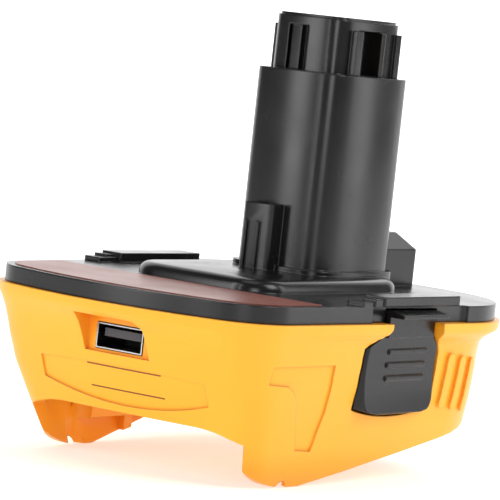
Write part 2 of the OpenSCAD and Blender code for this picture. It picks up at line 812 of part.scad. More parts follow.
// Paddle outline in the Y-Z plane: bowed sole, and edges that draw in to the neck
module paddle_shape() {
    intersection() {
        polygon(concat([[back_front, latch_lo - 1], [back_rear, latch_lo - 1]], rear_edge,
            [[neck_rear, plate_top], [neck_front, plate_top]], front_edge));
        translate([latch_y - 1, latch_lo + sole_r]) circle(sole_r);
    }
}

// Paddle with sloping flanks and round lower corners between its back and its face
module paddle_block() {
    hull() {
        across(paddle_x, paddle_x + 1) tongue_shape(back_front, back_rear, latch_lo, 2.4, 4);
        across(face_x, face_x + 4) tongue_shape(face_front, face_rear, latch_lo + 1.8, 5, 3.6);
    }
}

// Upright tongue from y0 to y1 with its foot at z0 and two lower corner radii
module tongue_shape(y0, y1, z0, r0, r1) {
    r = max(r0, r1);
    translate([y0, z0 + r]) square([y1 - y0, plate_top - z0 - r]);
    translate([y0 + r0, z0]) square([y1 - y0 - r0 - r1, r + 1]);
    translate([y0 + r0, z0 + r0]) circle(r0);
    translate([y1 - r1, z0 + r1]) circle(r1);
    translate([y0, z0 + r0]) square([r0, r - r0 + 1]);
    translate([y1 - r1, z0 + r1]) square([r1, r - r1 + 1]);
}

module latch_right() {
    color(black) latch_body();
}

module latch_left() {
    color(black) mirror([1, 0, 0]) latch_body();
}

function coil_point(i) =
    let (a = 360 * i / spring_rings)
    [spring_in + spring_wire + spring_pitch * i / spring_rings, latch_y + spring_r * cos(a),
        guide_mid + spring_r * sin(a)];

module spring_coil() {
    sweep_tube([for (i = [0:spring_turns * spring_rings]) coil_point(i)], spring_wire, spring_sides);
}

module latch_spring_right() {
    color(metal) spring_coil();
}

module latch_spring_left() {
    color(metal) mirror([1, 0, 0]) spring_coil();
}

// Charging socket

module usb_shell() {
    color(metal) translate([0, pocket_y - usb_gap, usb_mid]) difference() {
        translate([-usb_w / 2, 0, -usb_h / 2]) cube([usb_w, usb_depth, usb_h]);
        translate([shell_t - usb_w / 2, -1, shell_t - usb_h / 2])
            cube([usb_w - 2 * shell_t, usb_depth + 2, usb_h - 2 * shell_t]);
    }
}

module usb_insert() {
    color(black) {
        translate([shell_t - usb_w / 2, pocket_y - usb_gap + usb_depth - insert_l, usb_mid - usb_h / 2 + shell_t])
            cube([usb_w - 2 * shell_t, insert_l, usb_h - 2 * shell_t]);
        difference() {
            translate([-tongue_w / 2, pocket_y + 1, tongue_z]) cube([tongue_w, usb_depth - insert_l, tongue_t]);
            contact_pads();
        }
    }
}

// Four pads let into the underside of the tongue
module contact_pads() {
    for (x = [-3.5, -1, 1, 3.5]) {
        translate([x - pad_w / 2, pad_y, tongue_z]) cube([pad_w, 6.6, pad_t]);
    }
}

module usb_contacts() {
    color(brass) contact_pads();
}

// Electronics on the deck

module circuit_board() {
    color(green) difference() {
        translate([-board_half, board_front, board_z]) cube([2 * board_half, board_rear - board_front, board_t]);
        for (i = [0, 1]) {
            translate([board_posts[i][0], board_posts[i][1], board_z - 1])
                cylinder(r = board_screw_r + 0.1, h = board_t + 2);
        }
    }
}

module inductor() {
    coil_w = 10;
    coil_h = 4.6;
    color(black) translate([-12, -22, board_top]) {
        linear_extrude(1) round_rect(coil_w, coil_w, 1);
        cylinder(d = coil_w - 2.4, h = coil_h - 0.5);
        translate([0, 0, coil_h - 1]) cylinder(d = coil_w - 0.6, h = 1);
    }
}

module capacitors() {
    cap_d = 6.3;
    cap_h = 7.6;
    color(black) for (p = [[12, -26], [12, -17]]) {
        translate([p[0], p[1], board_top]) {
            linear_extrude(1) round_rect(cap_d + 0.4, cap_d + 0.4, 1);
            cylinder(d = cap_d, h = cap_h);
        }
    }
}

module regulator() {
    chip_w = 6;
    chip_h = 1.5;
    pin_l = 1;
    pin_t = 0.4;
    color(black) translate([0, -22, board_top]) {
        translate([-chip_w / 2, -chip_w / 2, 0]) cube([chip_w, chip_w, chip_h]);
        for (x = [-2.2, -0.75, 0.75, 2.2]) {
            translate([x - pin_t / 2, -chip_w / 2 - pin_l, 0]) cube([pin_t, chip_w + 2 * pin_l, pin_t]);
        }
    }
}

module terminal_block() {
    color(black) difference() {
        translate([-block_half, block_y, deck_z - block_h]) cube([2 * block_half, block_l, block_h]);
        for (x = blade_x) {
            blade(x);
        }
    }
}

// One blade: a tongue to the front and a tail up through the deck
module blade(x) {
    translate([x - blade_t / 2, block_y - blade_reach, blade_mid - blade_h / 2])
        cube([blade_t, blade_tail + blade_tail_l - block_y + blade_reach, blade_h]);
    translate([x - blade_t / 2, blade_tail, blade_mid]) cube([blade_t, blade_tail_l, deck_top + blade_up - blade_mid]);
}

module blade_positive() {
    color(brass) blade(blade_x[0]);
}

module blade_negative() {
    color(brass) blade(blade_x[1]);
}

module blade_sense() {
    color(brass) blade(blade_x[2]);
}

module cover_screws() {
    socket_r = 1;
    color(metal) for (p = cover_posts) {
        translate([p[0], p[1], deck_z - screw_head_h]) difference() {
            union() {
                cylinder(r = screw_head_r, h = screw_head_h);
                cylinder(r = screw_r, h = screw_head_h + screw_len - 0.6);
            }
            translate([0, 0, -0.5]) cylinder(r = socket_r, h = 1.5, $fn = 6);
        }
    }
}

module board_screws() {
    head_r = 2;
    head_h = 1.4;
    color(metal) for (i = [0, 1]) {
        translate([board_posts[i][0], board_posts[i][1], board_top]) {
            cylinder(r = head_r, h = head_h);
            translate([0, 0, -5]) cylinder(r = board_screw_r, h = 5.5);
        }
    }
}

module wire_positive() {
    color(rust) sweep_tube(route_pos, wire_r, wire_sides);
}

module wire_negative() {
    color(black) sweep_tube(route_neg, wire_r, wire_sides);
}

module wire_sense() {
    color(amber) sweep_tube(route_sense, sense_r, wire_sides);
}

module board_wires() {
    color(rust) sweep_tube(route_board_a, sense_r, wire_sides);
    color(black) sweep_tube(route_board_b, sense_r, wire_sides);
}

module label_strip() {
    strip_rear = -27.5;
    strip_h = 0.25;
    color(rust) translate([0, 0, plate_top]) linear_extrude(strip_h) intersection() {
        plan(inset(rim, 2));
        translate([-plate_wid, -plate_len]) square([2 * plate_wid, plate_len + strip_rear]);
    }
}

lower_housing();
top_cover();
terminal_head();
contact_positive();
contact_negative();
contact_sense();
latch_right();
latch_left();
latch_spring_right();
latch_spring_left();
usb_shell();
usb_insert();
usb_contacts();
circuit_board();
inductor();
capacitors();
regulator();
terminal_block();
blade_positive();
blade_negative();
blade_sense();
cover_screws();
board_screws();
wire_positive();
wire_negative();
wire_sense();
board_wires();
label_strip();
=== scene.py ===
"""Looks of a battery adapter: softened mouldings, procedural finishes, panel print and a plain studio."""

import logging
import math
from dataclasses import dataclass, field
from enum import Enum
from typing import Any

import bpy
from mathutils import Matrix, Vector
from mathutils.kdtree import KDTree


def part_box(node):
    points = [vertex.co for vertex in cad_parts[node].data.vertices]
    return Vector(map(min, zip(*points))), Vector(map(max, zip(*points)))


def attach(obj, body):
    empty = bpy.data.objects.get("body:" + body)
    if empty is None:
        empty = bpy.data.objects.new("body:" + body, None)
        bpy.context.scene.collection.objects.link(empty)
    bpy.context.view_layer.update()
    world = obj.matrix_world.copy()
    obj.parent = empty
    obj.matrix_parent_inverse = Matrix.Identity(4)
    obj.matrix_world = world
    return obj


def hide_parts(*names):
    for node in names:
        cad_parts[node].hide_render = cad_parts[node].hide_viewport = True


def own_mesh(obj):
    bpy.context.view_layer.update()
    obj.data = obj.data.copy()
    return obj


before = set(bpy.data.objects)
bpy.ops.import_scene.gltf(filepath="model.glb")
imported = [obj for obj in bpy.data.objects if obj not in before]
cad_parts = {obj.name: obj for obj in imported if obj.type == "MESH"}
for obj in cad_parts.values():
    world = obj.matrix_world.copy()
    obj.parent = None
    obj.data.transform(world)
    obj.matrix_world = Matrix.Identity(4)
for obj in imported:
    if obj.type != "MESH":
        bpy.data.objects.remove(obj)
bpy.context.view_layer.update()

MM = 0.001
# Part of a noise texture's values that holds nearly all of them
NOISE_SPAN = (0.3, 0.7)
# Rays with which a bevel node, or the hollow node that masks painted shade, looks for surfaces close by
NEAR_SAMPLES = 6
# Sockets of the colour mix node
MIX_SHARE, MIX_FIRST, MIX_SECOND, MIX_RESULT = 0, 6, 7, 2
# Vertices closer than this, in metres, are one
SAME_PLACE = 1e-6
# Faces of a moulding that turn by less than this many degrees are one surface
SURFACE_TURN = 34.0
# Faces that turn by less than this many degrees are one flat face
FLAT_TURN = 0.3
# Most samples along one side of a triangle when normals are evened
MOST_CUTS = 24
# Share of its own face in a corner's normal, so that no corner is left without one
OWN_SHARE = 1e-9
log = logging.getLogger("adapter")


def linear(hex_colour: str) -> tuple[float, float, float, float]:
    """Turns an sRGB hex value into the linear colour that a shader takes.

    Args:
        hex_colour: Six hex digits, as in "f4a92b".

    Returns:
        Linear red, green, blue and full alpha.
    """
    parts = [int(hex_colour[i:i + 2], 16) / 255 for i in (0, 2, 4)]
    bent = [c / 12.92 if c <= 0.04045 else ((c + 0.055) / 1.055) ** 2.4 for c in parts]
    return (bent[0], bent[1], bent[2], 1.0)


def per_metre(size_mm: float) -> float:
    """Texture scale that gives a pattern this many millimetres wide."""
    return 1.0 / (size_mm * MM)


def add_node(tree: bpy.types.NodeTree, kind: str, settings: dict[Any, Any] | None = None,
             links: dict[Any, bpy.types.NodeSocket] | None = None) -> bpy.types.Node:
    """Adds one node with its settings and links.

    Args:
        tree: Node tree that gets the node.
        kind: Class name of the node.
        settings: Values by input name, input number or node property.
        links: Output sockets by the name or number of the input they feed.

    Returns:
        The new node.
    """
    node = tree.nodes.new(kind)
    for key, value in (settings or {}).items():
        if isinstance(key, int) or key in node.inputs:
            node.inputs[key].default_value = value
        else:
            setattr(node, key, value)
    for key, socket in (links or {}).items():
        tree.links.new(socket, node.inputs[key])
    return node


def noise(tree: bpy.types.NodeTree, place: bpy.types.NodeSocket, size_mm: float,
          detail: float) -> bpy.types.NodeSocket:
    """Adds a cloudy pattern.

    Args:
        tree: Node tree that gets the node.
        place: Coordinates that it reads.
        size_mm: Width of its patches.
        detail: How many finer patterns it holds.

    Returns:
        Its value, around 0.5.
    """
    settings = {"Scale": per_metre(size_mm), "Detail": detail}
    return add_node(tree, "ShaderNodeTexNoise", settings, {"Vector": place}).outputs["Fac"]


def remap(tree: bpy.types.NodeTree, value: bpy.types.NodeSocket, source: tuple[float, float],
          target: tuple[float, float]) -> bpy.types.NodeSocket:
    """Maps one range of values onto another and stops at its ends.

    Args:
        tree: Node tree that gets the node.
        value: Value that is mapped.
        source: Its two ends.
        target: What the two ends become.

    Returns:
        The mapped value.
    """
    ends = {"From Min": source[0], "From Max": source[1], "To Min": target[0], "To Max": target[1]}
    return add_node(tree, "ShaderNodeMapRange", ends, {"Value": value}).outputs["Result"]


def blend(tree: bpy.types.NodeTree, share: bpy.types.NodeSocket, first: bpy.types.NodeSocket | str,
          second: str) -> bpy.types.NodeSocket:
    """Blends two colours.

    Args:
        tree: Node tree that gets the node.
        share: How much of the second colour shows.
        first: First colour, as a socket or a hex value.
        second: Second colour, as a hex value.

    Returns:
        The blended colour.
    """
    settings: dict[Any, Any] = {"data_type": "RGBA", MIX_SECOND: linear(second)}
    links = {MIX_SHARE: share}
    if isinstance(first, str):
        settings[MIX_FIRST] = linear(first)
    else:
        links[MIX_FIRST] = first
    return add_node(tree, "ShaderNodeMix", settings, links).outputs[MIX_RESULT]


def hollow_share(tree: bpy.types.NodeTree, reach_mm: float) -> bpy.types.NodeSocket:
    """Tells open surfaces from hollows; the finishes use it to place painted shade.

    Args:
        tree: Node tree that gets the node.
        reach_mm: How far away a wall still counts.

    Returns:
        1 in the open, less in a hollow.
    """
    settings = {"Distance": reach_mm * MM, "samples": NEAR_SAMPLES}
    return add_node(tree, "ShaderNodeAmbientOcclusion", settings).outputs["AO"]


def rounded_edge(tree: bpy.types.NodeTree, radius_mm: float) -> bpy.types.NodeSocket:
    """Gives the normal of a surface whose edges are rounded off.

    Args:
        tree: Node tree that gets the node.
        radius_mm: Radius of the edges.

    Returns:
        The normal.
    """
    settings = {"Radius": radius_mm * MM, "samples": NEAR_SAMPLES}
    return add_node(tree, "ShaderNodeBevel", settings).outputs["Normal"]


class Slot(Enum):
    """Material slots of the record."""

    AMBER = "amber_abs"
    BLACK = "black_abs"
    LATCH = "latch_abs"
    LABEL = "label_film"
    SHELL = "nickel_shell"
    INSERT = "socket_plastic"
    BRASS = "contact_brass"
    SPRING = "spring_steel"
    SCREW = "screw_steel"
    BOARD = "board_green"
    CHIP = "component_black"
    BLOCK = "block_black"
    RED = "wire_red"
    DARK = "wire_black"
    YELLOW = "wire_yellow"


@dataclass(frozen=True)
class Finish:
    """A real material: its name, colour and gloss."""

    name: str
    colour: str
    roughness: float
    ior: float = 1.5
    shine: float = 0.5

    def material(self) -> bpy.types.Material:
        """Builds the node material.

        Returns:
            The finished material.
        """
        material = bpy.data.materials.new(self.name)
        material.use_nodes = True
        tree = material.node_tree
        tree.nodes.clear()
        shader = add_node(tree, "ShaderNodeBsdfPrincipled", {"Base Color": linear(self.colour),
                                                             "Roughness": self.roughness, "IOR": self.ior,
                                                             "Specular IOR Level": self.shine})
        add_node(tree, "ShaderNodeOutputMaterial", None, {"Surface": shader.outputs["BSDF"]})
        self.surface(tree, shader, add_node(tree, "ShaderNodeTexCoord").outputs["Object"])
        material.diffuse_color = linear(self.colour)
        return material

    def surface(self, tree: bpy.types.NodeTree, shader: bpy.types.Node, place: bpy.types.NodeSocket) -> None:
        """Adds what the surface shows beyond its colour; a plain finish adds a faint gloss change.

        Args:
            tree: The material's node tree.
            shader: Its main shader.
            place: Object coordinates.
        """
        self.gloss_change(tree, shader, place, 6.0, 0.05)

    def gloss_change(self, tree: bpy.types.NodeTree, shader: bpy.types.Node, place: bpy.types.NodeSocket,
                     size_mm: float, spread: float) -> None:
        """Lets the roughness wander a little over the surface.

        Args:
            tree: The material's node tree.
            shader: Its main shader.
            place: Object coordinates.
            size_mm: Width of the patches.
            spread: How far the roughness moves either way.
        """
        cloud = noise(tree, place, size_mm, 3.0)
        rough = remap(tree, cloud, NOISE_SPAN, (self.roughness - spread, self.roughness + spread))
        tree.links.new(rough, shader.inputs["Roughness"])


@dataclass(frozen=True)
class MouldedPlastic(Finish):
    """Injection moulded plastic: an even colour with a random darker tone, painted shade in recesses, a fine
    tool texture and edges lighter from rubbed wear and a painted highlight.
    """

    # The darker tone tints the body at random and is also the painted shade in hollows; the light tone is
    # edge wear and a painted highlight.
    tone_and_painted_shade: str = "000000"
    wear_and_highlight_colour: str = "ffffff"
    edge_mm: float = 0.35
    grit_mm: float = 0.5
    grit_depth_mm: float = 0.004
    painted_shade_reach_mm: float = 9.0
    painted_shade_strength: float = 0.5
    wear_and_highlight: float = 0.2
    flow_mm: float = 28.0
    flow_share: float = 0.12
    painted_shade_span: tuple[float, float] = (0.3, 0.85)
    edge_span: tuple[float, float] = (0.99, 0.8)

    def surface(self, tree: bpy.types.NodeTree, shader: bpy.types.Node, place: bpy.types.NodeSocket) -> None:
        """Adds a random tone, painted shade in recesses, edge wear with a painted highlight, tool texture and
        edge rounding.

        Args:
            tree: The material's node tree.
            shader: Its main shader.
            place: Object coordinates.
        """
        flow = noise(tree, place, self.flow_mm, 2.0)
        body = blend(tree, remap(tree, flow, NOISE_SPAN, (0.0, self.flow_share)), self.colour, self.tone_and_painted_shade)
        # Painted shade: hollows take the darker tone, as if shade fell there.
        painted_shade_mask = hollow_share(tree, self.painted_shade_reach_mm)
        with_painted_shade = blend(tree, remap(tree, painted_shade_mask, self.painted_shade_span, (self.painted_shade_strength, 0.0)), body, self.tone_and_painted_shade)
        # Edges turn lighter, partly as rubbed wear and partly as a painted highlight.
        rounded = rounded_edge(tree, self.edge_mm)
        face = add_node(tree, "ShaderNodeNewGeometry")
        lean = add_node(tree, "ShaderNodeVectorMath", {"operation": "DOT_PRODUCT"},
                        {0: rounded, 1: face.outputs["Normal"]})
        edge = remap(tree, lean.outputs["Value"], self.edge_span, (0.0, self.wear_and_highlight))
        worn_and_highlit = blend(tree, edge, with_painted_shade, self.wear_and_highlight_colour)
        skin = add_node(tree, "ShaderNodeBump", {"Strength": 0.6, "Distance": self.grit_depth_mm * MM},
                        {"Height": noise(tree, place, self.grit_mm, 1.5), "Normal": rounded})
        tree.links.new(worn_and_highlit, shader.inputs["Base Color"])
        tree.links.new(skin.outputs["Normal"], shader.inputs["Normal"])
        self.gloss_change(tree, shader, place, 14.0, 0.035)


@dataclass(frozen=True)
class PrintedFilm(Finish):
    """Printed polyester film: a fine dot screen under a clear glossy face."""

    dark: str = "000000"
    screen_mm: float = 0.9
    cloud_mm: float = 16.0
    coat: float = 0.12
    coat_roughness: float = 0.12

    def surface(self, tree: bpy.types.NodeTree, shader: bpy.types.Node, place: bpy.types.NodeSocket) -> None:
        """Adds the screen of the print, drawn coarser than the real 0.15 mm so that it shows.

        Args:
            tree: The material's node tree.
            shader: Its main shader.
            place: Object coordinates.
        """
        shader.inputs["Coat Weight"].default_value = self.coat
        shader.inputs["Coat Roughness"].default_value = self.coat_roughness
        screen = add_node(tree, "ShaderNodeTexVoronoi", {"Scale": per_metre(self.screen_mm)},
                          {"Vector": place})
        mixed = add_node(tree, "ShaderNodeMath", {"operation": "MULTIPLY"},
                         {0: screen.outputs["Distance"], 1: noise(tree, place, self.cloud_mm, 4.0)})
        colour = blend(tree, mixed.outputs["Value"], self.colour, self.dark)
        tree.links.new(colour, shader.inputs["Base Color"])
        self.gloss_change(tree, shader, place, 10.0, 0.04)


@dataclass(frozen=True)
class WorkedMetal(Finish):
    """Rolled, drawn or plated metal: tight lines along its length and a soft smear of gloss."""

    stretch: tuple[float, float, float] = (1.0, 0.06, 1.0)
    line_mm: float = 0.25
    line_depth_mm: float = 0.004
    edge_mm: float = 0.12
    painted_shade_reach_mm: float = 6.0
    tone_and_painted_shade: str = ""

    def surface(self, tree: bpy.types.NodeTree, shader: bpy.types.Node, place: bpy.types.NodeSocket) -> None:
        """Adds working lines to gloss and relief.

        Args:
            tree: The material's node tree.
            shader: Its main shader.
            place: Object coordinates.
        """
        shader.inputs["Metallic"].default_value = 1.0
        # Painted shade: the colour darkens in hollows, such as inside the socket shell.
        if self.tone_and_painted_shade:
            inside = blend(tree, hollow_share(tree, self.painted_shade_reach_mm), self.tone_and_painted_shade, self.colour)
            tree.links.new(inside, shader.inputs["Base Color"])
        along = add_node(tree, "ShaderNodeMapping", {"Scale": self.stretch}, {"Vector": place})
        lines = noise(tree, along.outputs["Vector"], self.line_mm, 3.0)
        rough = remap(tree, lines, NOISE_SPAN, (self.roughness - 0.08, self.roughness + 0.1))
        relief = add_node(tree, "ShaderNodeBump", {"Strength": 0.25, "Distance": self.line_depth_mm * MM},
                          {"Height": lines, "Normal": rounded_edge(tree, self.edge_mm)})
        tree.links.new(rough, shader.inputs["Roughness"])
        tree.links.new(relief.outputs["Normal"], shader.inputs["Normal"])


@dataclass(frozen=True)
class SolderMask(Finish):
    """Circuit board: green mask with the raised copper tracks showing lighter through it."""

    track: str = "2f7a4c"
    track_mm: float = 2.2
    track_depth_mm: float = 0.03

    def surface(self, tree: bpy.types.NodeTree, shader: bpy.types.Node, place: bpy.types.NodeSocket) -> None:
        """Adds a grid of tracks in colour and relief.

        Args:
            tree: The material's node tree.
            shader: Its main shader.
            place: Object coordinates.
        """
        mask = linear(self.colour)
        grid = add_node(tree, "ShaderNodeTexBrick", {"Scale": per_metre(self.track_mm), "Mortar Size": 0.08,
                                                     "Color1": mask, "Color2": mask,
                                                     "Mortar": linear(self.track)}, {"Vector": place})
        relief = add_node(tree, "ShaderNodeBump", {"Strength": 0.4, "Distance": self.track_depth_mm * MM},
                          {"Height": grid.outputs["Fac"]})
        tree.links.new(grid.outputs["Color"], shader.inputs["Base Color"])
        tree.links.new(relief.outputs["Normal"], shader.inputs["Normal"])
        self.gloss_change(tree, shader, place, 5.0, 0.05)


# Each finish with what it gives the eye; every moulded finish carries painted shade in hollows
FINISHES: dict[Slot, Finish] = {
    # Tool-yellow ABS: a warm satin gloss, with painted orange shade in hollows where the walls light each
    # other
    Slot.AMBER: MouldedPlastic("moulded_abs_amber", "fcb432", 0.33, 1.5, 0.3, tone_and_painted_shade="f08a10", wear_and_highlight_colour="ffc964",
                               edge_mm=0.5, grit_depth_mm=0.003, painted_shade_reach_mm=12.0, painted_shade_strength=0.75, wear_and_highlight=0.3),
    # Black ABS: near-black grey with broad soft sheens and pale edges of rubbed wear and painted highlight
    Slot.BLACK: MouldedPlastic("moulded_abs_black", "121214", 0.25, 1.5, 0.46, tone_and_painted_shade="0a0a0b", wear_and_highlight_colour="3a3a3c",
                               edge_mm=0.55, grit_depth_mm=0.003, wear_and_highlight=0.4),
    # The same black ABS on the latches, smoother where thumbs rub it
    Slot.LATCH: MouldedPlastic("moulded_abs_latch", "111113", 0.27, 1.5, 0.4, tone_and_painted_shade="09090a", wear_and_highlight_colour="38383a",
                               edge_mm=0.4, grit_depth_mm=0.003, wear_and_highlight=0.4),
    # Red-brown polyester film under a clear face
    Slot.LABEL: PrintedFilm("polyester_film_russet", "8f5346", 0.42, 1.5, 0.3, dark="6a362c"),
    # Nickel plated steel strip, bright along its cut edge, with painted shade inside the shell
    Slot.SHELL: WorkedMetal("nickel_plated_steel", "c9c9cc", 0.24, tone_and_painted_shade="151516"),
    # Glass-filled nylon of the socket's tongue, dull grey, darkened by painted shade in the socket
    Slot.INSERT: MouldedPlastic("moulded_nylon_grey", "515256", 0.5, 1.5, 0.3, tone_and_painted_shade="0c0c0d", wear_and_highlight_colour="77787c",
                                edge_mm=0.15, painted_shade_reach_mm=6.0, painted_shade_strength=0.9),
    # Stamped brass with rolling lines
    Slot.BRASS: WorkedMetal("stamped_brass", "d2b062", 0.28, stretch=(1.0, 1.0, 0.06)),
    # Drawn spring wire
    Slot.SPRING: WorkedMetal("drawn_spring_steel", "bfc0c4", 0.26, stretch=(0.3, 1.0, 1.0)),
    # Zinc plated screws, slightly blue
    Slot.SCREW: WorkedMetal("zinc_plated_steel", "a9adb3", 0.34, stretch=(1.0, 1.0, 0.3)),
    # Epoxy board under green mask
    Slot.BOARD: SolderMask("solder_mask_green", "14562f", 0.35, 1.5),
    # Epoxy moulded components, dull black
    Slot.CHIP: MouldedPlastic("epoxy_component_black", "202022", 0.55, 1.5, tone_and_painted_shade="101011", wear_and_highlight_colour="3c3c3e",
                              edge_mm=0.2),
    # Nylon terminal block, dull black
    Slot.BLOCK: MouldedPlastic("moulded_nylon_black", "1f1f21", 0.5, 1.5, tone_and_painted_shade="0f0f10", wear_and_highlight_colour="3c3c3e",
                               edge_mm=0.3),
    # Silicone insulation, soft and dull
    Slot.RED: Finish("silicone_insulation_red", "97241d", 0.5, 1.41),
    Slot.DARK: Finish("silicone_insulation_black", "1b1b1c", 0.5, 1.41),
    Slot.YELLOW: Finish("silicone_insulation_yellow", "d9a522", 0.5, 1.41),
}
# Pad printing ink on the panel: thin, matt, dark brown over amber
INK = Finish("pad_print_ink_brown", "7a4a16", 0.55, 1.5)


@dataclass
class Paintbox:
    """Keeps one material for each finish."""

    made: dict[str, bpy.types.Material] = field(default_factory=dict)

    def give(self, obj: bpy.types.Object, finish: Finish) -> None:
        """Puts a finish on every slot of a piece.

        Args:
            obj: Piece or CAD node.
            finish: Its finish.
        """
        if finish.name not in self.made:
            self.made[finish.name] = finish.material()
        if not obj.data.materials:
            obj.data.materials.append(self.made[finish.name])
        for slot in obj.material_slots:
            slot.material = self.made[finish.name]


PAINT = Paintbox()


def select_only(obj: bpy.types.Object) -> None:
    """Makes one object the only selected and the active one."""
    bpy.ops.object.select_all(action="DESELECT")
    obj.select_set(True)
    bpy.context.view_layer.objects.active = obj


def apply_modifier(obj: bpy.types.Object, kind: str, **settings: Any) -> None:
    """Adds a modifier with its settings and applies it.

    Args:
        obj: Piece that gets the modifier.
        kind: Blender's name for the kind of modifier.
        settings: Values of the modifier's properties.
    """
    select_only(obj)
    modifier = obj.modifiers.new(kind.title(), kind)
    for key, value in settings.items():
        setattr(modifier, key, value)
    bpy.ops.object.modifier_apply(modifier=modifier.name)


def softened_copy(node: str, levels: int = 0, smooth: float = SURFACE_TURN) -> bpy.types.Object:
    """Copies a CAD node's mesh, merges it and shades it smooth.

    Args:
        node: Name of the CAD node.
        levels: Subdivision levels for round, flexible pieces.
        smooth: Angle in degrees below which faces shade into each other.

    Returns:
        The copy, which stands for the node.
    """
    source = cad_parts[node]
    piece = bpy.data.objects.new(node + "_soft", source.data.copy())
    bpy.context.scene.collection.objects.link(piece)
    select_only(piece)
    bpy.ops.object.mode_set(mode="EDIT")
    bpy.ops.mesh.select_all(action="SELECT")
    bpy.ops.mesh.remove_doubles(threshold=SAME_PLACE)
    if levels:
        bpy.ops.mesh.tris_convert_to_quads()
    else:
        bpy.ops.mesh.dissolve_limited(angle_limit=math.radians(FLAT_TURN))
    bpy.ops.object.mode_set(mode="OBJECT")
    if levels:
        apply_modifier(piece, "SUBSURF", levels=levels, render_levels=levels)
    select_only(piece)
    bpy.ops.object.shade_smooth_by_angle(angle=math.radians(smooth))
    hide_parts(node)
    return piece


def even_normals(piece: bpy.types.Object, reach_mm: float) -> None:
    """Evens the shading of a moulding whose mesh has long thin faces.

    Each corner takes the area-weighted mean normal of the surface around it, so the shading follows the form
    and not the cut of the mesh.

    Args:
        piece: The moulding.
        reach_mm: Distance over which the surface is averaged.
    """
    mesh = piece.data
    mesh.calc_loop_triangles()
    step = reach_mm * MM / 2
    samples: list[tuple[Vector, Vector, float]] = []
    for triangle in mesh.loop_triangles:
        a, b, c = (mesh.vertices[v].co for v in triangle.vertices)
        longest = max((b - a).length, (c - a).length, (c - b).length)
        cuts = min(MOST_CUTS, max(1, math.ceil(longest / step)))
        share = triangle.area / cuts ** 2
        for i in range(cuts):
            for j in range(2 * (cuts - i) - 1):
                third = 1 / 3 if j % 2 == 0 else 2 / 3
                samples.append((a + (b - a) * ((i + third) / cuts) + (c - a) * ((j // 2 + third) / cuts),
                                triangle.normal, share))
    tree = KDTree(len(samples))
    for number, sample in enumerate(samples):
        tree.insert(sample[0], number)
    tree.balance()
    limit = math.cos(math.radians(SURFACE_TURN))
    near = [[samples[n] for _, n, _ in tree.find_range(v.co, reach_mm * MM)] for v in mesh.vertices]
    normals = []
    for face in mesh.polygons:
        for vertex in face.vertices:
            total = face.normal * OWN_SHARE
            for _, normal, share in near[vertex]:
                if normal.dot(face.normal) > limit:
                    total = total + normal * share
            normals.append(total.normalized())
    mesh.normals_split_custom_set(normals)


@dataclass
class SubAssembly:
    """A group of CAD nodes with their slots, all on one body."""

    body: str = "body"
    nodes: dict[str, Slot] = field(default_factory=dict)

    def dress(self) -> None:
        """Gives each CAD node of the group its finish."""
        for node, slot in self.nodes.items():
            PAINT.give(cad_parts[node], FINISHES[slot])
            log.info("%s: %s", node, FINISHES[slot].name)

    def settle(self, piece: bpy.types.Object, slot: Slot, finish: Finish | None = None,
               body: str | None = None) -> bpy.types.Object:
        """Gives a new piece its finish and the body that carries it.

        Args:
            piece: The new piece.
            slot: The record's slot it belongs to.
            finish: Finish, if it isn't the slot's own.
            body: Body, if it isn't the group's own.

        Returns:
            The piece.
        """
        PAINT.give(piece, finish or FINISHES[slot])
        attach(piece, body or self.body)
        log.info("%s: %d faces, %s", piece.name, len(piece.data.polygons), (finish or FINISHES[slot]).name)
        return piece


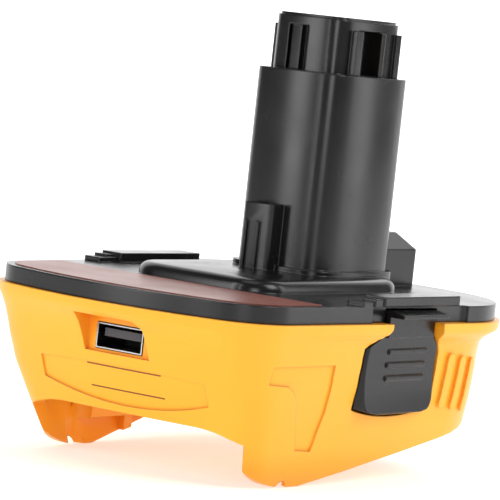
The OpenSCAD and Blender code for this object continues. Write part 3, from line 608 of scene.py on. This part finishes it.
@dataclass
class HousingShell(SubAssembly):
    """The amber tub and the print on its front panel."""

    line_from_mm: float = -9.5
    line_to_mm: float = 11.4
    upper_line_mm: float = 22.9
    lower_line_mm: float = 17.7
    stroke_mm: float = 0.32
    stroke_cuts: int = 24
    ink_mm: float = 0.05
    ahead_mm: float = 75.0
    even_mm: float = 3.0

    def build(self) -> None:
        """Makes the smooth tub and the print."""
        tub = self.settle(softened_copy("lower_housing", smooth=38.0), Slot.AMBER)
        even_normals(tub, self.even_mm)
        middle = (self.line_from_mm + self.line_to_mm) / 2
        length = self.line_to_mm - self.line_from_mm
        lines = {"panel_line_upper": self.upper_line_mm, "panel_line_lower": self.lower_line_mm}
        for name, height in lines.items():
            self.settle(self.stroke(name, tub, middle, height, length), Slot.AMBER, INK)

    def stroke(self, name: str, tub: bpy.types.Object, x: float, z: float, width: float) -> bpy.types.Object:
        """Prints one straight stroke on the front wall.

        Args:
            name: Name of the piece.
            tub: The housing that it lies on.
            x: Middle of the stroke across the wall, in millimetres.
            z: Its height, in millimetres.
            width: Its length across the wall, in millimetres.

        Returns:
            The stroke, wrapped on the wall.
        """
        bpy.ops.object.select_all(action="DESELECT")
        bpy.ops.mesh.primitive_plane_add(size=1.0, location=(0, 0, 0), rotation=(math.radians(90), 0, 0))
        piece = bpy.context.object
        piece.name = name
        piece.scale = (width * MM, self.stroke_mm * MM, 1.0)
        piece.location = (x * MM, -self.ahead_mm * MM, z * MM)
        bpy.ops.object.transform_apply(location=True, rotation=True, scale=True)
        bpy.ops.object.mode_set(mode="EDIT")
        bpy.ops.mesh.select_all(action="DESELECT")
        bpy.ops.object.mode_set(mode="OBJECT")
        for edge in piece.data.edges:
            ends = [piece.data.vertices[v].co for v in edge.vertices]
            edge.select = abs(ends[0].x - ends[1].x) > SAME_PLACE
        bpy.ops.object.mode_set(mode="EDIT")
        bpy.ops.mesh.select_mode(type="EDGE")
        bpy.ops.mesh.subdivide(number_cuts=self.stroke_cuts)
        bpy.ops.object.mode_set(mode="OBJECT")
        apply_modifier(piece, "SHRINKWRAP", target=tub, wrap_method="PROJECT", use_project_y=True,
                       use_positive_direction=True, use_negative_direction=False, offset=0.0)
        apply_modifier(piece, "SOLIDIFY", thickness=self.ink_mm * MM, offset=1.0)
        select_only(piece)
        bpy.ops.object.mode_set(mode="EDIT")
        bpy.ops.mesh.select_all(action="SELECT")
        bpy.ops.mesh.normals_make_consistent(inside=False)
        bpy.ops.object.mode_set(mode="OBJECT")
        return piece


@dataclass
class StemCover(SubAssembly):
    """The black cover with its stem, the terminal head and the film on the cover's front."""

    even_mm: float = 1.2

    def build(self) -> None:
        """Shades the mouldings evenly."""
        for node in ("top_cover", "terminal_head"):
            even_normals(self.settle(softened_copy(node), Slot.BLACK), self.even_mm)


@dataclass
class LatchPair(SubAssembly):
    """The two squeeze latches and the springs behind them."""

    travel_mm: float = 4.0
    turns: int = 5
    steps_per_turn: int = 20
    wire_mm: float = 0.3
    wire_sides: int = 10
    wire_smooth: float = 50.0
    even_mm: float = 1.2

    def build(self) -> None:
        """Shades the latches evenly and winds the springs."""
        for side, sign in (("right", 1.0), ("left", -1.0)):
            paddle = self.settle(softened_copy("latch_" + side), Slot.LATCH, body=side + "_latch")
            even_normals(paddle, self.even_mm)
            self.settle(self.coil(side, sign), Slot.SPRING)

    def coil(self, side: str, sign: float) -> bpy.types.Object:
        """Winds one spring.

        Args:
            side: Name of the side.
            sign: 1 on the right, -1 on the left.

        Returns:
            The spring.
        """
        node = "latch_spring_" + side
        low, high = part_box(node)
        near, far = (low.x, high.x) if sign > 0 else (high.x, low.x)
        middle = (low + high) / 2
        wire = self.wire_mm * MM
        radius = (high.z - low.z) / 2 - wire
        run = abs(far - near) - 2 * wire
        bpy.ops.object.select_all(action="DESELECT")
        bpy.ops.mesh.primitive_circle_add(vertices=self.wire_sides, radius=wire,
                                          rotation=(math.radians(90), 0, 0), location=(0, 0, 0))
        piece = bpy.context.object
        piece.name = node + "_wound"
        bpy.ops.object.transform_apply(location=True, rotation=True, scale=True)
        bpy.ops.object.mode_set(mode="EDIT")
        bpy.ops.mesh.select_all(action="SELECT")
        bpy.ops.transform.translate(value=(radius, 0, 0))
        bpy.ops.object.mode_set(mode="OBJECT")
        steps = self.steps_per_turn * self.turns
        apply_modifier(piece, "SCREW", axis="Z", angle=math.tau * self.turns, screw_offset=run, steps=steps,
                       render_steps=steps, use_merge_vertices=False)
        select_only(piece)
        bpy.ops.object.mode_set(mode="EDIT")
        bpy.ops.mesh.select_all(action="DESELECT")
        bpy.ops.mesh.select_mode(type="EDGE")
        bpy.ops.mesh.select_non_manifold()
        bpy.ops.mesh.edge_face_add()
        bpy.ops.mesh.select_all(action="SELECT")
        bpy.ops.mesh.normals_make_consistent(inside=False)
        bpy.ops.object.mode_set(mode="OBJECT")
        piece.rotation_euler = (0, math.radians(90) * sign, 0)
        piece.location = (near + sign * wire, middle.y, middle.z)
        bpy.ops.object.transform_apply(location=True, rotation=True, scale=True)
        bpy.ops.object.shade_smooth_by_angle(angle=math.radians(self.wire_smooth))
        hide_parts(node)
        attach(piece, self.body)
        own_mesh(piece)
        return piece


@dataclass
class Leads(SubAssembly):
    """The insulated leads inside."""

    wire_smooth: float = 60.0

    def build(self) -> None:
        """Rounds each lead."""
        for node, slot in self.nodes.items():
            self.settle(softened_copy(node, levels=1, smooth=self.wire_smooth), slot)


@dataclass(frozen=True)
class Softbox:
    """One soft lamp that faces the object."""

    name: str
    azimuth: float
    elevation: float
    distance: float
    width: float
    height: float
    watts: float

    def place(self, aim: Vector) -> None:
        """Hangs the lamp and turns it to the object.

        Args:
            aim: Point that it faces, in metres.
        """
        a, e = math.radians(self.azimuth), math.radians(self.elevation)
        back = Vector((math.sin(a) * math.cos(e), -math.cos(a) * math.cos(e), math.sin(e)))
        data = bpy.data.lights.new(self.name, "AREA")
        data.shape = "RECTANGLE"
        data.size = self.width
        data.size_y = self.height
        data.energy = self.watts
        lamp = bpy.data.objects.new(self.name, data)
        lamp.location = aim + back * self.distance
        lamp.rotation_mode = "QUATERNION"
        lamp.rotation_quaternion = (-back).to_track_quat("-Z", "Y")
        bpy.context.scene.collection.objects.link(lamp)


@dataclass
class Studio:
    """White floor and wall, soft lamps and the camera."""

    distance_mm: float = 775.84
    bearing: float = 35.6
    height_mm: float = 107.52
    yaw: float = 0.2
    pitch: float = 4.29
    roll: float = 6.13
    focal_px: float = 3320.0
    frame_px: float = 500.0
    sensor_mm: float = 36.0
    far_m: float = 100.0
    floor_m: float = 2.4
    floor_drop_m: float = 0.0002
    floor_shade: float = 0.85
    floor_glow: float = 0.5
    wall_m: float = 0.8
    wall_width_m: float = 2.0
    wall_height_m: float = 1.6
    wall_middle_m: float = 0.6
    wall_shade: float = 0.6
    wall_glow: float = 1.0
    sky: float = 0.15
    aim_m: float = 0.045
    boxes: tuple[Softbox, ...] = (
        Softbox("front_strip", -27.0, 10.0, 0.8, 0.2, 0.9, 3.0),
        Softbox("corner_strip", -5.0, 10.0, 0.8, 0.05, 0.9, 1.1),
        Softbox("side_strip", 135.0, 10.0, 0.8, 0.2, 0.9, 1.8),
        Softbox("side_fill", 98.0, 38.0, 0.9, 0.4, 0.5, 3.6),
        Softbox("low_fill", 40.0, 8.0, 0.95, 0.3, 0.25, 1.3),
        Softbox("overhead", 10.0, 78.0, 0.9, 0.5, 0.5, 0.9),
        Softbox("rear_fill", 200.0, 45.0, 0.9, 0.5, 0.5, 1.8),
    )

    def build(self) -> None:
        """Sets up the whole studio."""
        self.floor()
        self.world()
        for box in self.boxes:
            box.place(Vector((0, 0, self.aim_m)))
        self.camera()
        bpy.context.scene.view_settings.view_transform = "Standard"

    def stage_plane(self, name: str, across_m: float, up_m: float, place: Vector, tilt: float,
                    shade: float, lift: float) -> None:
        """Adds one white plane of the set, turned square to the camera.

        Args:
            name: Name of the plane.
            across_m: Its width across the view.
            up_m: Its length along the floor, or its height.
            place: Its middle, in metres.
            tilt: 0 to lie flat, 90 to stand up, in degrees.
            shade: Grey of its paint.
            lift: Even glow of its face, which keeps the background white.
        """
        bpy.ops.object.select_all(action="DESELECT")
        bpy.ops.mesh.primitive_plane_add(size=1.0, location=place,
                                         rotation=(math.radians(tilt), 0, math.radians(self.bearing)))
        plane = bpy.context.object
        plane.name = name
        plane.scale = (across_m, up_m, 1.0)
        material = bpy.data.materials.new(name + "_white_paint")
        material.use_nodes = True
        tree = material.node_tree
        tree.nodes.clear()
        paint = add_node(tree, "ShaderNodeBsdfDiffuse", {"Color": (shade, shade, shade, 1.0)})
        glow = add_node(tree, "ShaderNodeEmission", {"Strength": lift})
        both = add_node(tree, "ShaderNodeAddShader", None, {0: paint.outputs[0], 1: glow.outputs[0]})
        # The back of the plane lets a camera behind it look through.
        clear = add_node(tree, "ShaderNodeBsdfTransparent")
        side = add_node(tree, "ShaderNodeNewGeometry")
        sheet = add_node(tree, "ShaderNodeMixShader", None,
                         {0: side.outputs["Backfacing"], 1: both.outputs[0], 2: clear.outputs[0]})
        add_node(tree, "ShaderNodeOutputMaterial", None, {"Surface": sheet.outputs[0]})
        plane.data.materials.append(material)

    def floor(self) -> None:
        """Lays the pale floor, which keeps the object's shadow, and stands a white wall behind it."""
        a = math.radians(self.bearing)
        behind = Vector((-math.sin(a), math.cos(a), 0.0)) * self.wall_m
        self.stage_plane("studio_floor", self.floor_m, 2 * self.wall_m,
                         Vector((0, 0, -self.floor_drop_m)), 0.0, self.floor_shade, self.floor_glow)
        self.stage_plane("studio_wall", self.wall_width_m, self.wall_height_m,
                         behind + Vector((0, 0, self.wall_middle_m)), 90.0, self.wall_shade, self.wall_glow)

    def world(self) -> None:
        """Gives an even soft light from all round."""
        world = bpy.data.worlds.new("studio")
        bpy.context.scene.world = world
        world.use_nodes = True
        tree = world.node_tree
        tree.nodes.clear()
        light = add_node(tree, "ShaderNodeBackground", {"Color": (1.0, 1.0, 1.0, 1.0), "Strength": self.sky})
        add_node(tree, "ShaderNodeOutputWorld", None, {"Surface": light.outputs[0]})

    def camera(self) -> None:
        """Places the camera at the photograph's viewing angle."""
        bearing, azimuth = math.radians(self.bearing), math.radians(self.bearing + self.yaw)
        pitch, roll = math.radians(self.pitch), math.radians(self.roll)
        ahead = Vector((-math.sin(azimuth) * math.cos(pitch), math.cos(azimuth) * math.cos(pitch),
                        -math.sin(pitch)))
        right = ahead.cross(Vector((0, 0, 1))).normalized()
        up = right.cross(ahead)
        across = right * math.cos(roll) + up * math.sin(roll)
        upright = up * math.cos(roll) - right * math.sin(roll)
        place = Matrix((across, upright, -ahead)).transposed().to_4x4()
        stand = Vector((math.sin(bearing), -math.cos(bearing), 0.0)) * self.distance_mm
        place.translation = (stand + Vector((0, 0, self.height_mm))) * MM
        data = bpy.data.cameras.new("photo_camera")
        data.sensor_width = self.sensor_mm
        data.lens = self.focal_px / self.frame_px * self.sensor_mm
        data.clip_end = self.far_m
        camera = bpy.data.objects.new("photo_camera", data)
        camera.matrix_world = place
        bpy.context.scene.collection.objects.link(camera)
        bpy.context.scene.camera = camera


def main() -> None:
    logging.basicConfig(level=logging.INFO, format="%(message)s")
    groups = (
        HousingShell(nodes={"lower_housing": Slot.AMBER}),
        StemCover(nodes={"top_cover": Slot.BLACK, "terminal_head": Slot.BLACK, "label_strip": Slot.LABEL,
                         "contact_positive": Slot.BRASS, "contact_negative": Slot.BRASS,
                         "contact_sense": Slot.BRASS}),
        LatchPair(nodes={"latch_right": Slot.LATCH, "latch_left": Slot.LATCH,
                         "latch_spring_right": Slot.SPRING, "latch_spring_left": Slot.SPRING}),
        Leads(nodes={"wire_positive": Slot.RED, "wire_negative": Slot.DARK, "wire_sense": Slot.YELLOW,
                     "board_wires": Slot.RED}),
    )
    inner = SubAssembly(nodes={"usb_shell": Slot.SHELL, "usb_insert": Slot.INSERT, "usb_contacts": Slot.BRASS,
                               "circuit_board": Slot.BOARD, "inductor": Slot.CHIP, "capacitors": Slot.CHIP,
                               "regulator": Slot.CHIP, "terminal_block": Slot.BLOCK,
                               "blade_positive": Slot.BRASS, "blade_negative": Slot.BRASS,
                               "blade_sense": Slot.BRASS, "cover_screws": Slot.SCREW,
                               "board_screws": Slot.SCREW})
    inner.dress()
    for group in groups:
        group.dress()
        group.build()
    Studio().build()


if __name__ == "__main__":
    main()
